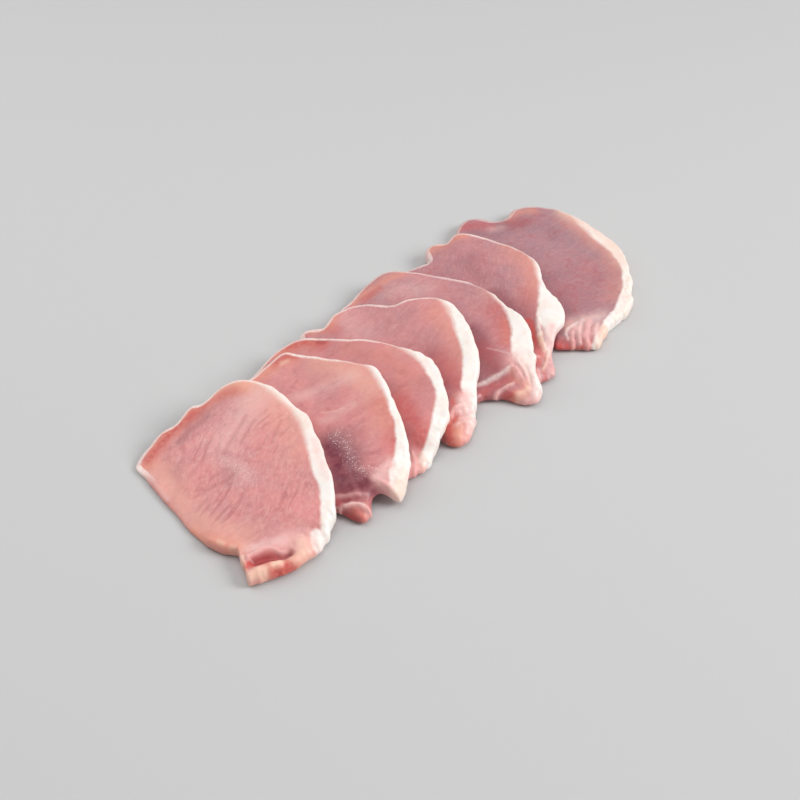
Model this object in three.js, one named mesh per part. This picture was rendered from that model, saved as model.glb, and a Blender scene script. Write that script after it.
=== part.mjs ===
// Sliced pork loin: seven raw slices of one boneless loin, laid in a row in cutting order.
// Each slice lies over the left side of the next one, so that its fat side shows.
// Millimetres. +X runs along the row, +Y towards the blade side of the slices, +Z up.
// The origin is on the flat underside, at the middle of the row.
import * as THREE from 'three';

// Driving dimensions of a slice
const THICKNESS = 6.5;
const RIM = 3; // how far in from its edge a slice is rounded
const GAP = 0.6; // between a slice and what it lies on
const LEAN = Math.tan(THREE.MathUtils.degToRad(18)); // steepest fall of the firm muscle
const DROOP = Math.tan(THREE.MathUtils.degToRad(45)); // steepest fall of the limp tail
const TAIL_BEGINS = -24; // Y where the muscle starts to give way to the tail
const TAIL_ENDS = -44; // Y from where the slice is all tail
const MIDDLE_Y = 4; // Y of the middle of the eye muscle, where each outline is measured from
const CENTRE_Y = 1; // Y of the middle of the whole row, which becomes the origin

// Fineness of the solids and of the height field that the slices are laid on
const RINGS = 9; // square rings of a slice's face
const EDGE_LOOPS = 3; // loops round the edge between the two faces
const GRID = 2;
const HALF_COLUMNS = 80;
const HALF_ROWS = 38;
const SPREAD = 2; // grid steps for which a slice stays level past the edge under it
const SMOOTHINGS = 4;
const MARGIN = 4; // how far outside its outline a slice still feels what is under it
const OUTLINE_SAMPLES = 600;

const MEAT = { color: 0xd99490, roughness: 0.4, metalness: 0 };

// The side that lies hidden under the slice above: the straight cut along the ribs
const RIB_SIDE = [[-35, -8], [-34, 15], [-30, 38]];

// at: where the slice lies along the row. edge: the points its outline runs through, from the
// top left corner clockwise down the fat side to the tail, from the slice's own place.
// folds: ridges and grooves of the tail, as [from, to, lift, reach].
const SLICES = {
  slice_1: {
    at: -110,
    edge: [
      [-27, 52], [-16, 55], [-9, 56], [-2, 53], [9, 54], [13, 50], [25, 49], [33, 44], [38, 34],
      [39, 22], [37, 10], [37, 1], [32, -9], [25, -24], [18, -35], [11, -43], [0, -46], [-5, -48],
      [-17, -47], [-28, -43], [-36, -39], [-32, -32], [-29, -22], [-34, -13], [-35, 0], [-32, 20],
      [-29, 40],
    ],
    folds: [[[-30, -33], [-16, -41], -1.6, 2.6], [[-33, -38], [-13, -46], 0.8, 2.2]],
  },
  slice_2: {
    at: -75,
    edge: [
      [-22, 50], [-6, 50], [7, 47], [18, 46], [26, 44], [29, 35], [36, 18], [39, 8], [42, -2],
      [39, -12], [32, -25], [27, -36], [19, -46], [12, -53], [4, -54], [0, -46], [-6, -46],
      [-10, -50], [-15, -49], [-20, -38], [-30, -37], [-36, -30], ...RIB_SIDE,
    ],
    folds: [[[-20, -37], [-6, -42], -1.2, 2.4], [[-15, -46], [-11, -47], 0.8, 2.2]],
  },
  slice_3: {
    at: -49,
    edge: [
      [-22, 50], [-8, 55], [7, 54], [15, 49], [20, 40], [26, 28], [33, 18], [38, 6], [41, -6],
      [40, -18], [33, -30], [26, -40], [16, -45], [8, -47], [1, -50], [-10, -48], [-25, -44],
      [-36, -30], ...RIB_SIDE,
    ],
    folds: [[[-12, -40], [2, -43], -1.2, 2.4]],
  },
  slice_4: {
    at: -11,
    edge: [
      [-22, 50], [-15, 58], [-11, 55], [-8, 50], [2, 52], [12, 49], [18, 43], [23, 31], [32, 25],
      [40, 16], [41, 6], [38, -4], [30, -17], [20, -30], [10, -37], [5, -42], [-5, -49],
      [-14, -52], [-19, -49], [-21, -40], [-30, -36], ...RIB_SIDE,
    ],
    folds: [[[-14, -40], [0, -46], -1.4, 2], [[-16, -46], [-8, -49], 0.8, 2.2]],
  },
  slice_5: {
    at: 14,
    edge: [
      [-18, 56], [-4, 59], [12, 60], [20, 58], [27, 49], [32, 40], [37, 25], [40, 16], [40, 1],
      [36, -15], [34, -26], [28, -36], [19, -45], [14, -51], [11, -57], [5, -59], [0, -56],
      [-3, -48], [-11, -40], [-20, -37], [-36, -30], ...RIB_SIDE,
    ],
    folds: [[[-8, -34], [4, -41], -1.2, 2.2], [[0, -53], [9, -53], 0.8, 2.6]],
  },
  slice_6: {
    at: 56,
    edge: [
      [-22, 51], [-12, 55], [0, 52], [4, 50], [9, 57], [15, 57], [19, 51], [26, 51], [31, 46],
      [36, 30], [39, 14], [36, 0], [28, -9], [22, -19], [18, -29], [11, -37], [0, -40], [-9, -46],
      [-17, -54], [-26, -52], [-33, -42], ...RIB_SIDE,
    ],
    folds: [[[-6, -30], [-12, -43], -1.4, 2.2], [[8, -31], [16, -26], 1, 3]],
  },
  slice_7: {
    at: 106,
    edge: [
      [-22, 51], [-13, 59], [-4, 61], [2, 58], [6, 49], [12, 45], [22, 47], [29, 44], [38, 31],
      [40, 20], [38, 0], [36, -12], [33, -20], [21, -34], [7, -46], [-3, -52], [-17, -53],
      [-29, -54], [-37, -57], [-44, -50], [-51, -42], [-44, -30], ...RIB_SIDE,
    ],
    folds: [[[-40, -36], [-22, -44], -1.4, 2.4], [[-44, -46], [-34, -51], 0.8, 2.4]],
  },
};

// The smooth closed outline through the edge points, as its distance from the slice's
// middle at any bearing.
function outlineOf(edge) {
  const points = edge.map(([x, y]) => new THREE.Vector3(x, y - MIDDLE_Y, 0));
  const curve = new THREE.CatmullRomCurve3(points, true, 'centripetal');
  const table = curve.getPoints(OUTLINE_SAMPLES).map(({ x, y }) => (
    { bearing: Math.atan2(y, x), reach: Math.hypot(x, y) }
  ));
  table.sort((a, b) => a.bearing - b.bearing);
  const turn = 2 * Math.PI;
  const [first, last] = [table.at(0), table.at(-1)];
  table.unshift({ bearing: last.bearing - turn, reach: last.reach });
  table.push({ bearing: first.bearing + turn, reach: first.reach });
  return (bearing) => {
    const next = table.findIndex((row) => row.bearing > bearing);
    const [a, b] = [table[next - 1], table[next]];
    return THREE.MathUtils.mapLinear(bearing, a.bearing, b.bearing, a.reach, b.reach);
  };
}

// Height fields: one number for each point of a square grid over the row.
const COLUMNS = 2 * HALF_COLUMNS + 1;
const ROWS = 2 * HALF_ROWS + 1;

function makeField(valueAt) {
  return Float64Array.from({ length: COLUMNS * ROWS }, (_, n) => {
    const i = Math.floor(n / ROWS);
    return valueAt(i, n - i * ROWS);
  });
}

function readField(field, i, j) {
  const column = THREE.MathUtils.clamp(i, 0, COLUMNS - 1);
  const row = THREE.MathUtils.clamp(j, 0, ROWS - 1);
  return field[column * ROWS + row];
}

const gridX = (i) => (i - HALF_COLUMNS) * GRID;
const gridY = (j) => (j - HALF_ROWS) * GRID;

// Neighbours within two steps, each in a direction of its own
const NEIGHBOURS = [];
for (const i of [-2, -1, 0, 1, 2]) {
  for (const j of [-2, -1, 0, 1, 2]) {
    const shared = i % 2 === 0 && j % 2 === 0;
    if (!shared) NEIGHBOURS.push({ i, j, run: GRID * Math.hypot(i, j) });
  }
}

// The steepest fall of a slice, from the firm muscle's to the limp tail's.
function steepest(y) {
  return THREE.MathUtils.lerp(LEAN, DROOP, THREE.MathUtils.smoothstep(-y, -TAIL_BEGINS, -TAIL_ENDS));
}

// The underside of a limp slice on its support: level a little past each edge that holds it,
// then falling no steeper than its meat lets it, and rounded off.
function settle(support) {
  let under = makeField((i, j) => {
    let height = 0;
    for (let m = -SPREAD; m <= SPREAD; m += 1) {
      for (let n = -SPREAD; n <= SPREAD; n += 1) {
        if (m * m + n * n <= SPREAD * SPREAD) height = Math.max(height, readField(support, i + m, j + n));
      }
    }
    return height;
  });
  for (let moved = true; moved;) {
    const before = under;
    under = makeField((i, j) => {
      const fall = steepest(gridY(j));
      return NEIGHBOURS.reduce(
        (height, step) => Math.max(height, readField(before, i + step.i, j + step.j) - fall * step.run),
        readField(before, i, j),
      );
    });
    moved = under.some((height, n) => height > before[n]);
  }
  for (let pass = 0; pass < SMOOTHINGS; pass += 1) {
    const across = makeField((i, j) => blend(under, i, j, 1, 0));
    under = makeField((i, j) => blend(across, i, j, 0, 1));
  }
  return under.map((height, n) => Math.max(height, support[n]));
}

// Half of a point's height and a quarter of each neighbour's in one direction.
function blend(field, i, j, di, dj) {
  const neighbours = readField(field, i - di, j - dj) + readField(field, i + di, j + dj);
  return readField(field, i, j) / 2 + neighbours / 4;
}

// The field's height between its points, by cubic B-splines.
function heightAt(field, x, y) {
  const u = x / GRID + HALF_COLUMNS;
  const v = y / GRID + HALF_ROWS;
  const i = Math.floor(u);
  const j = Math.floor(v);
  const across = splineWeights(u - i);
  const along = splineWeights(v - j);
  let height = 0;
  for (let m = 0; m < 4; m += 1) {
    for (let n = 0; n < 4; n += 1) {
      height += across[m] * along[n] * readField(field, i + m - 1, j + n - 1);
    }
  }
  return height;
}

function splineWeights(t) {
  return [
    (1 - t) ** 3 / 6,
    (3 * t ** 3 - 6 * t ** 2 + 4) / 6,
    (-3 * t ** 3 + 3 * t ** 2 + 3 * t + 1) / 6,
    t ** 3 / 6,
  ];
}

// Half the slice's thickness at a depth in from its edge: a half-round rim, then level.
function halfThickness(depth) {
  const left = 1 - THREE.MathUtils.clamp(depth / RIM, 0, 1);
  return (THICKNESS / 2) * Math.sqrt(1 - left * left);
}

// How far the folds of a slice lift its top face at a point.
function foldLift(folds, x, y) {
  return folds.reduce((sum, [from, to, lift, reach]) => {
    const along = new THREE.Line3(new THREE.Vector3(...from, 0), new THREE.Vector3(...to, 0));
    const point = new THREE.Vector3(x, y, 0);
    const distance = along.closestPointToPoint(point, true, new THREE.Vector3()).distanceTo(point);
    return sum + lift * Math.exp(-((distance / reach) ** 2));
  }, 0);
}

// Position round a square ring, from its lower right corner anticlockwise, as a bearing.
function ringBearing(i, j, ring) {
  let eighths = 7 + i / ring;
  if (i === ring && j < ring) eighths = 1 + j / ring;
  else if (j === ring && i > -ring) eighths = 3 - i / ring;
  else if (i === -ring && j > -ring) eighths = 5 - j / ring;
  const turn = ((eighths - 1) * Math.PI) / 4;
  return Math.atan2(Math.sin(turn), Math.cos(turn));
}

// A point at a bearing from a slice's middle: a share of the way to where its rim starts to
// round, and then some way out along the rim's own curve.
function placeOf(outline, bearing, share, out) {
  const reach = share * (outline(bearing) - RIM) + out;
  return [reach * Math.cos(bearing), MIDDLE_Y + reach * Math.sin(bearing)];
}

// One slice as a closed body: a top and a bottom face of square rings, drawn out to the
// outline, with the half-round rim between them.
const SIDE = 2 * RINGS + 1;
const FACE_POINTS = SIDE * SIDE;

function makeSlab(slice, outline, under) {
  const body = { slice, outline, under, positions: [], faces: [] };
  addFacePoints(body, (x, y) => THICKNESS + foldLift(slice.folds, x, y));
  addFacePoints(body, () => 0);
  addFaceTriangles(body.faces);
  addRim(body);
  const geometry = new THREE.BufferGeometry();
  geometry.setAttribute('position', new THREE.Float32BufferAttribute(body.positions, 3));
  geometry.setIndex(body.faces);
  geometry.computeVertexNormals();
  return geometry;
}

// Adds a point at x, y from the slice's own place, that much over its underside.
function addPoint({ slice, under, positions }, x, y, rise) {
  positions.push(x + slice.at, y, heightAt(under, x + slice.at, y) + rise);
  return positions.length / 3 - 1;
}

function addFacePoints(body, riseAt) {
  for (let i = -RINGS; i <= RINGS; i += 1) {
    for (let j = -RINGS; j <= RINGS; j += 1) {
      const ring = Math.max(Math.abs(i), Math.abs(j));
      const bearing = ring === 0 ? 0 : ringBearing(i, j, ring);
      const [x, y] = placeOf(body.outline, bearing, ring / RINGS, 0);
      addPoint(body, x, y, riseAt(x, y));
    }
  }
}

// Both faces are split alike, each square along the diagonal that points to the middle.
function addFaceTriangles(faces) {
  for (let i = 0; i < SIDE - 1; i += 1) {
    for (let j = 0; j < SIDE - 1; j += 1) {
      const a = i * SIDE + j;
      const [b, c, d] = [a + SIDE, a + SIDE + 1, a + 1];
      const inward = (i < RINGS) === (j < RINGS);
      const halves = inward ? [[a, b, c], [a, c, d]] : [[a, b, d], [b, c, d]];
      for (const [p, q, r] of halves) {
        faces.push(p, q, r);
        faces.push(FACE_POINTS + p, FACE_POINTS + r, FACE_POINTS + q);
      }
    }
  }
}

// The outermost square ring, anticlockwise from its lower right corner, as [i, j] from the middle.
function outerRing() {
  const ring = [];
  for (let n = -RINGS; n < RINGS; n += 1) ring.push([RINGS, n]);
  for (let n = RINGS; n > -RINGS; n -= 1) ring.push([n, RINGS]);
  for (let n = RINGS; n > -RINGS; n -= 1) ring.push([-RINGS, n]);
  for (let n = -RINGS; n < RINGS; n += 1) ring.push([n, -RINGS]);
  return ring;
}

// The half-round rim, as loops of points from the edge of the top face to that of the bottom.
function addRim(body) {
  const ring = outerRing();
  const topEdge = ring.map(([i, j]) => (i + RINGS) * SIDE + j + RINGS);
  const loops = [topEdge];
  for (let loop = 1; loop <= EDGE_LOOPS; loop += 1) {
    const angle = Math.PI / 2 - (Math.PI * loop) / (EDGE_LOOPS + 1);
    loops.push(ring.map(([i, j]) => {
      const [x, y] = placeOf(body.outline, ringBearing(i, j, RINGS), 1, RIM * Math.cos(angle));
      const lift = foldLift(body.slice.folds, x, y) * Math.max(0, Math.sin(angle));
      return addPoint(body, x, y, (THICKNESS / 2) * (1 + Math.sin(angle)) + lift);
    }));
  }
  loops.push(topEdge.map((point) => FACE_POINTS + point));
  for (let loop = 0; loop < loops.length - 1; loop += 1) {
    const [over, below] = [loops[loop], loops[loop + 1]];
    ring.forEach((_, n) => {
      const next = (n + 1) % ring.length;
      body.faces.push(over[n], below[n], below[next], over[n], below[next], over[next]);
    });
  }
}

// The slices are laid from the last one, which is flat, back to the first.
const row = new THREE.Group();
row.position.y = -CENTRE_Y;
let pile = makeField(() => 0);
for (const [name, slice] of Object.entries(SLICES).reverse()) {
  const outline = outlineOf(slice.edge);
  const depths = makeField((i, j) => {
    const x = gridX(i) - slice.at;
    const y = gridY(j) - MIDDLE_Y;
    return outline(Math.atan2(y, x)) - Math.hypot(x, y);
  });
  const support = pile.map((height, n) => (height > 0 && depths[n] > -MARGIN ? height + GAP : 0));
  const under = settle(support);
  const mesh = new THREE.Mesh(makeSlab(slice, outline, under), new THREE.MeshStandardMaterial(MEAT));
  mesh.name = name;
  row.add(mesh);
  pile = pile.map((height, n) => {
    if (depths[n] <= 0) return height;
    return Math.max(height, under[n] + THICKNESS / 2 + halfThickness(depths[n]));
  });
}

export default row;
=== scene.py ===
"""Sliced pork loin: seven raw slices of one boneless loin, laid in a row in cutting order, each
over the rib side of the next one, so that its fat side shows.

Lengths in the shape functions are millimetres in the row's own frame: +X along the row, +Y
towards the blade side of the slices, +Z up, and the surface that they lie on at 0. Meshes are
made in metres.
"""

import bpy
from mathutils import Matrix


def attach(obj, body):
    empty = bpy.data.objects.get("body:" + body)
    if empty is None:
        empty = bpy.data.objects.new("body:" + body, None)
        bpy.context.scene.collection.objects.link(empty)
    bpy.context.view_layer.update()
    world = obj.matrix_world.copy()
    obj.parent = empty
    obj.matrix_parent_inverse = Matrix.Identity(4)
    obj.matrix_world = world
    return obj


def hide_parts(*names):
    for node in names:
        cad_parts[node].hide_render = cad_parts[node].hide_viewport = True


bl_info = {
    "name": "Sliced pork loin",
    "version": (1, 0, 0),
    "blender": (4, 5, 0),
    "location": "3D View > Sidebar > Pork loin",
    "description": "Raw slices of boneless pork loin, laid overlapping in a row",
    "category": "Object",
}

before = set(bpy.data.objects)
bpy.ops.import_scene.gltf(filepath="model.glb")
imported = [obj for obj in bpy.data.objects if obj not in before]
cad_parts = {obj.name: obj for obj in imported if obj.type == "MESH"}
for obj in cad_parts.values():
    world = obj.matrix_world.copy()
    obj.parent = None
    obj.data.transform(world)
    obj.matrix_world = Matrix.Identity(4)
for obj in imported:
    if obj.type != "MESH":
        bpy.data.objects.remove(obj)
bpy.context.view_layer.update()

import bpy
import numpy as np
from mathutils import Matrix, Vector

MM = 0.001

# How the slices are laid, in millimetres
MIDDLE = (0.0, 4.0)  # middle of the eye muscle, where each outline is measured from
CENTRE_Y = 1.0  # Y of the middle of the whole row, which is the frame's origin
RIM = 3.0  # how far in from its edge a slice is rounded
LEAN_FALL = np.tan(np.radians(18))  # steepest fall of the firm muscle
TAIL_FALL = np.tan(np.radians(45))  # steepest fall of the limp tail
TAIL = (-24.0, -44.0)  # the fall grows from the one to the other between these Y
CELL = 2.0  # of the height field that the slices are laid on
HALF_LENGTH = 160.0  # of that field, along the row
HALF_WIDTH = 76.0  # and across it
SPREAD = 2  # cells for which a slice stays level past the edge under it
SMOOTHINGS = 4
MARGIN = 4.0  # how far outside its outline a slice still feels what is under it

# Fineness of the meshes
RIM_LOOPS = 13
CROWDING = 0.8  # below 1 the rings of a face lie closer together towards its edge
CURVE_STEPS = 24  # points from one edge point to the next
MARK_STEPS = 6  # the same along a mark

# The side that lies hidden under the slice above: the straight cut along the ribs
RIB_SIDE = [(-35, -8), (-34, 15), (-30, 38)]

# The slices. at: where one lies along the row. fibres: how its cut fibres lean, in degrees from the
# row. grooves: how plainly they open, mauve: how grey the lean is, and skin: how white its thin
# skin is, partly a painted highlight along its top edge, all 0 to 1. edge: the points its outline
# runs through, clockwise from the top left corner. lean: the line between the lean meat and the
# broad fat side, from the top down.
# marks: what shows on its top face, as (kind, strength, half width, path) and, where the face
# also rises or sinks there, by how much. A thin mark only makes the slice thinner by that much,
# and a fat mark is fat as wide as the mark, whatever its strength.
# On the tails, the lighter marks on raised folds and lumps and the dark marks laid in hollows are
# partly the meat's own colours and partly painted highlight on the crests and painted shade in the
# hollows.
SLICE_1 = dict(
    at=-110,
    fibres=20,
    grooves=0.8,
    mauve=0.0,
    skin=1,
    edge=[
        (-27, 52), (-16, 55), (-9, 56), (-2, 53), (9, 54), (13, 50), (25, 49), (33, 44), (38, 34),
        (39, 22), (37.5, 11), (37.5, 2), (32.5, -9), (25, -23), (18, -34.5), (11, -42.5), (3, -46),
        (-4.6, -47.9), (-12.6, -46.6), (-19.6, -46.6), (-26.4, -43.9), (-31.6, -42), (-35.6, -40),
        (-37, -37.4), (-33.8, -32.8), (-32.8, -28.6), (-30, -23), (-33.6, -17), (-35.2, -9),
        (-34.6, 4), (-32, 22), (-29, 41),
    ],
    lean=[
        (36.4, 26), (35.2, 14), (33.8, 6.3), (30.4, -1.5), (24.7, -10.3), (19.2, -18.8),
        (14.9, -26.2), (11, -32.7), (6.8, -37.7), (2.9, -41.6),
    ],
    marks=[
        ("thin", 1, 9, [(-27, 56), (-31, 38), (-34, 18), (-37, 0)], -4.2),
        ("thin", 1, 3, [(-38, -39), (-29, -44.6), (-18, -49), (-8, -50)], -1.4),
        ("thin", 1, 3.2, [(-40.4, -36.4), (-38.6, -42)], -3.2),
        ("warm", 1, 4.5, [(-24, 47), (-15, 51), (-4, 50), (8, 49), (22, 45), (31, 39)]),
        ("red", 0.9, 3.4, [(-21, 49), (-8, 50), (5, 48), (14, 47), (22, 43.5), (26, 42)]),
        ("red", 0.7, 1.2, [(4, 46.8), (14, 45.6), (21.8, 43.5), (25.7, 41.8)]),
        ("deep", 0.18, 4, [(12, 42.5), (19, 41.4), (25, 39)]),
        ("deep", 0.4, 2.6, [(-7, 42), (2, 42), (9, 41)]),
        ("deep", 0.35, 2.0, [(-1, 45), (6, 45), (11, 45)]),
        ("peach", 0.75, 7, [(-23, 40), (-27, 24), (-29, 8), (-29, -6), (-25, -20)]),
        ("pale", 0.3, 1.0, [(-26.3, 44), (-28.3, 34), (-30.4, 24)]),
        ("peach", 0.5, 9, [(31, 30), (28, 14), (26, 2), (20, -10)]),
        ("pale", 0.4, 9, [(28, 30), (16, 24), (6, 22)]),
        # Painted highlight: a soft pale sheen down the middle of the face
        ("pale", 0.2, 5, [(0, 31), (-2, 20), (-2, 12), (-3, 2)]),
        ("deep", 0.12, 3.5, [(-1.6, 19), (-5.4, 10), (-9, 5)]),
        # Painted highlight: the next two marks set where a painted sheen and painted glint dots lie
        ("wet", 0.9, 4.5, [(-2.9, 16), (-2.3, 7), (-2.1, 1.4), (-3.1, -4)]),
        ("wet", 0.5, 4, [(0, 32), (-1, 26), (-3, 20)]),
        # The groove marks sink the face and also darken it with painted shade
        ("groove", 0.6, 1.1, [(18.6, 24), (12, 22), (4, 20), (-1, 18)], -0.22),
        ("groove", 0.5, 1.0, [(19.2, 18.7), (13, 17), (7.4, 15.6)], -0.2),
        ("groove", 0.5, 1.1, [(27, 9), (21, 6), (16, 3)], -0.2),
        ("groove", 0.45, 0.9, [(16.2, 6.8), (10.4, 5.4)], -0.18),
        ("groove", 0.5, 1.0, [(-4.4, 10.3), (-9, 12.4), (-13.3, 14)], -0.2),
        ("groove", 0.5, 1.1, [(-3, 6), (-9, 6.6), (-14, 9.6), (-18.6, 11.9)], -0.2),
        ("groove", 0.35, 1.0, [(-8, 24), (-13, 24), (-18, 23.5)], -0.15),
        ("cream", 0.35, 5, [(16, 50), (26, 46), (34, 38), (38, 24), (37, 10), (34, -4)]),
        # Partly pink in the fat, partly painted shade on the fat's side face
        ("fold", 0.42, 2.6, [(28.6, -12), (23.2, -21), (18.4, -28.6)]),
        ("groove", 0.3, 1.0, [(18, -12), (12, -16)], -0.15),
        ("warm", 0.8, 3, [(-34, 2), (-33.4, -9), (-32, -17), (-29, -23)], 0.3),
        ("cream", 0.5, 1.0, [(-32.3, -14), (-31.8, -16.5)], 0.4),
        ("cream", 0.5, 0.9, [(-30.6, -20), (-29.4, -22)], 0.5),
        ("pale", 0.6, 2.4, [(-28, -25), (-24, -28.5), (-19, -31.5), (-13, -35)]),
        ("fold", 0.75, 6, [(-12, -36), (-9, -39.7), (-8.6, -43.5)]),
        ("cream", 0.6, 3, [(-8.6, -42), (-12, -44.6)]),
        ("fat", 1, 2.5, [(-2.2, -43.6), (-4.4, -46.2)], 0.5),
        ("fold", 0.75, 1.1, [
            (-32.8, -28.2), (-30.3, -29.4), (-26.5, -30.2), (-22.3, -31.6), (-19.4, -34.1),
            (-17.9, -38), (-14.7, -39.7), (-12.8, -42),
        ], 0.6),
        ("cream", 0.6, 1.5, [(-31.2, -28), (-32.8, -30.4)], 0.3),
        # The pocket: a deep hollow laid dark, partly its own dark red and partly painted shade in
        # the hollow
        ("deep", 1, 2.3, [
            (-28.6, -33.4), (-24.6, -35.2), (-21.6, -37.6), (-18.8, -39.9), (-16, -41),
        ], -2.8),
        ("red", 0.65, 3, [(-28, -33), (-24.6, -35.2), (-21.6, -37.6), (-18.8, -39.9), (-16, -41)]),
        ("red", 1, 2, [(-32.4, -33.6), (-30, -33.2)], -0.5),
        ("warm", 0.9, 1.8, [(-33.6, -30.4), (-33.8, -33)]),
        ("warm", 1, 3.3, [
            (-31, -39.2), (-26.5, -41), (-21, -43.6), (-14.6, -44.8), (-9, -45.4),
        ], 1.4),
        ("cream", 0.9, 2.6, [(-35.4, -37.6), (-32.6, -38.6), (-30, -39.8)], 1.2),
        ("cream", 0.95, 1.5, [(-24.6, -41), (-22.2, -42)], 1.8),
        ("cream", 0.6, 2.2, [(-16.4, -44.6), (-10.5, -45)], 0.9),
        ("red", 0.9, 2.0, [(-27.8, -42.6), (-23, -44.8), (-17, -46)]),
        ("red", 0.6, 1.2, [(-27, -37.6), (-20, -42)], -0.3),
    ],
)
SLICE_2 = dict(
    at=-75,
    fibres=-24,
    grooves=0.35,
    mauve=0.05,
    skin=1,
    edge=[
        (-22, 50), (-6, 50), (7, 47), (18, 46), (26, 44), (29, 35), (36, 18), (39, 8), (42.5, -2),
        (39.5, -11.5), (33, -24.5), (27, -36), (19.5, -45.4), (10.4, -52.8), (5, -54.8),
        (2.2, -53.8), (0.8, -49.4), (-3, -46.6), (-7.4, -47), (-10.6, -49.8), (-14.4, -50.6),
        (-17.6, -46.4), (-20, -38), (-30, -37), (-36, -30), *RIB_SIDE,
    ],
    lean=[
        (39.5, -2), (36.6, -10.6), (32.2, -18.9), (27.9, -26.1), (24.7, -31.4), (20.1, -37.2),
        (15.2, -40.6), (9.5, -43.9),
    ],
    marks=[
        ("warm", 0.8, 4, [(4, 44), (14, 42), (24, 38)]),
        ("red", 0.7, 2.6, [(18, 42), (23.5, 40), (26, 36)]),
        ("cream", 0.4, 1.3, [(20, 39), (22, 37.6)], 0.2),
        ("peach", 0.85, 7, [(30, 22), (34, 3), (34, -7), (29, -18), (24, -27)]),
        ("deep", 0.14, 10, [(24, 24), (20, 8), (12, -6)]),
        ("pale", 0.35, 3.5, [(8, 19), (17, 13), (24, 8), (32, 3)]),
        ("pale", 0.3, 2.5, [(7, -2), (15, -6), (21, -8)]),
        ("deep", 0.16, 2.0, [(11, 20), (20, 17), (26, 14)]),
        ("film", 0.25, 0.35, [(10, 2), (14, -3), (18, -6)], 0.1),
        # Partly darker lean, partly painted shade beside the edge of the slice that covers it
        ("deep", 1, 10, [(1, -15), (-4, -24), (-9, -31), (-12, -37)]),
        ("deep", 0.95, 7.5, [(0, -24), (-4, -32), (-5, -40)]),
        ("red", 0.45, 5, [(28, -18), (23, -30), (17, -38)]),
        # Painted highlight: where a painted sheen and painted glint dots lie on this slice
        ("wet", 0.95, 5, [(5, -12), (4, -22), (1, -27), (-2, -31), (0, -36), (3, -41)]),
        ("pale", 0.6, 3, [(12, -41), (4, -43), (1, -46)]),
        ("fold", 0.5, 2.2, [(10, -43), (4, -45.4)]),
        ("deep", 0.8, 3, [(-8, -42.5), (-3, -46)], -0.5),
        ("deep", 0.9, 2.2, [(-21.5, -43), (-18, -45.4)], -1.6),
        ("thin", 1, 3.5, [(-20, -42), (-16, -49), (-10, -51)], -1.4),
        ("red", 0.4, 5, [(-17, -41), (-14, -48)]),
        ("deep", 0.8, 2.2, [(-19, -43.4), (-17.4, -47.8)]),
        ("red", 0.6, 2.4, [(-19, -43.4), (-17.4, -47.8)]),
        ("warm", 0.7, 2.4, [(-15.6, -44.6), (-14.6, -49)], 0.4),
        ("pale", 0.6, 1.8, [(-12.6, -46), (-12, -50)], 0.3),
        ("fold", 0.8, 1.0, [
            (-20.4, -39.4), (-18.1, -39.6), (-15.7, -41.3), (-13.5, -43.4), (-11.8, -46),
            (-10.6, -48.5), (-10.6, -51),
        ], 0.7),
        ("film", 0.35, 0.7, [(-16.8, -40.2), (-13.6, -42.9), (-11, -46.6)]),
        ("deep", 0.45, 4, [(-17, -36.6), (-10, -41)]),
        ("fold", 0.45, 0.9, [
            (-18, -34.4), (-16.7, -35.2), (-14.4, -37.6), (-11.1, -40), (-7, -44),
        ], 0.3),
        ("red", 0.5, 1.4, [(-17.2, -36.7), (-18, -39.2)], 0.2),
        ("fat", 1, 3.0, [(8, -47), (6.5, -50.4), (4.6, -52)]),
        ("cream", 0.7, 2.6, [(11.4, -49.6), (7.4, -51.6), (4.4, -53.6)]),
        ("red", 0.7, 1.0, [(2.6, -52.2), (3.6, -53.4)]),
        ("fold", 0.7, 2.0, [(0.3, -43), (1.6, -48.1), (2.3, -51.4)], 0.4),
        ("cream", 0.6, 1.4, [(1.6, -51.4), (2.2, -55)], 0.6),
        ("red", 0.9, 1.2, [(-1.6, -48.4), (-0.4, -50.6)], -0.8),
    ],
)
SLICE_3 = dict(
    at=-49,
    fibres=-8,
    grooves=0.25,
    mauve=0.05,
    skin=0.95,
    edge=[
        (-22, 50), (-8, 55), (7, 54), (15, 49), (20, 40), (26, 28), (33, 18), (38, 6), (42, -5.5),
        (41.4, -18), (34, -29.5), (26.6, -40), (16.5, -45), (8, -47), (1, -50), (-10, -48),
        (-25, -44), (-36, -30), *RIB_SIDE,
    ],
    lean=[
        (38.6, 0), (37.4, -9), (35.1, -16.7), (32, -22.5), (27.9, -29.3), (24.1, -34), (18.8, -37),
        (14.7, -39.1), (10.8, -40.8), (6.8, -43),
    ],
    marks=[
        ("warm", 0.8, 5, [(2, 50), (10, 48), (16, 41)]),
        ("red", 0.75, 4, [(8, 49), (14, 44), (18, 35)]),
        ("deep", 0.7, 1.3, [(16.5, 38.2), (18, 35)]),
        ("deep", 0.5, 0.9, [(17.6, 40), (19.3, 36.6)]),
        ("warm", 0.3, 6, [(22, 22), (28, 0), (25, -18)]),
        ("deep", 0.2, 13, [(14, 34), (20, 20), (25, -2), (24, -20)]),
        ("deep", 0.55, 8, [(8, -12), (2, -29), (0, -39)]),
        ("red", 0.62, 6, [(12, -22), (9, -36), (7, -40)]),
        ("fold", 0.7, 4, [(-1.5, -43), (-4, -50)]),
        ("fat", 1, 2.4, [(8, -44.6), (3.8, -46), (0.6, -47.4)]),
        ("fold", 0.7, 1.2, [(0, -41), (-1.7, -43.5), (-2.9, -45.6), (-5.8, -48), (-8, -50)], 0.5),
        ("cream", 0.4, 1.8, [(2, -45), (-0.8, -47.8), (-2.8, -50.6)], 0.6),
        ("red", 0.4, 0.8, [(-0.4, -45.8), (-5.4, -49.8)], -0.4),
    ],
)
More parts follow.
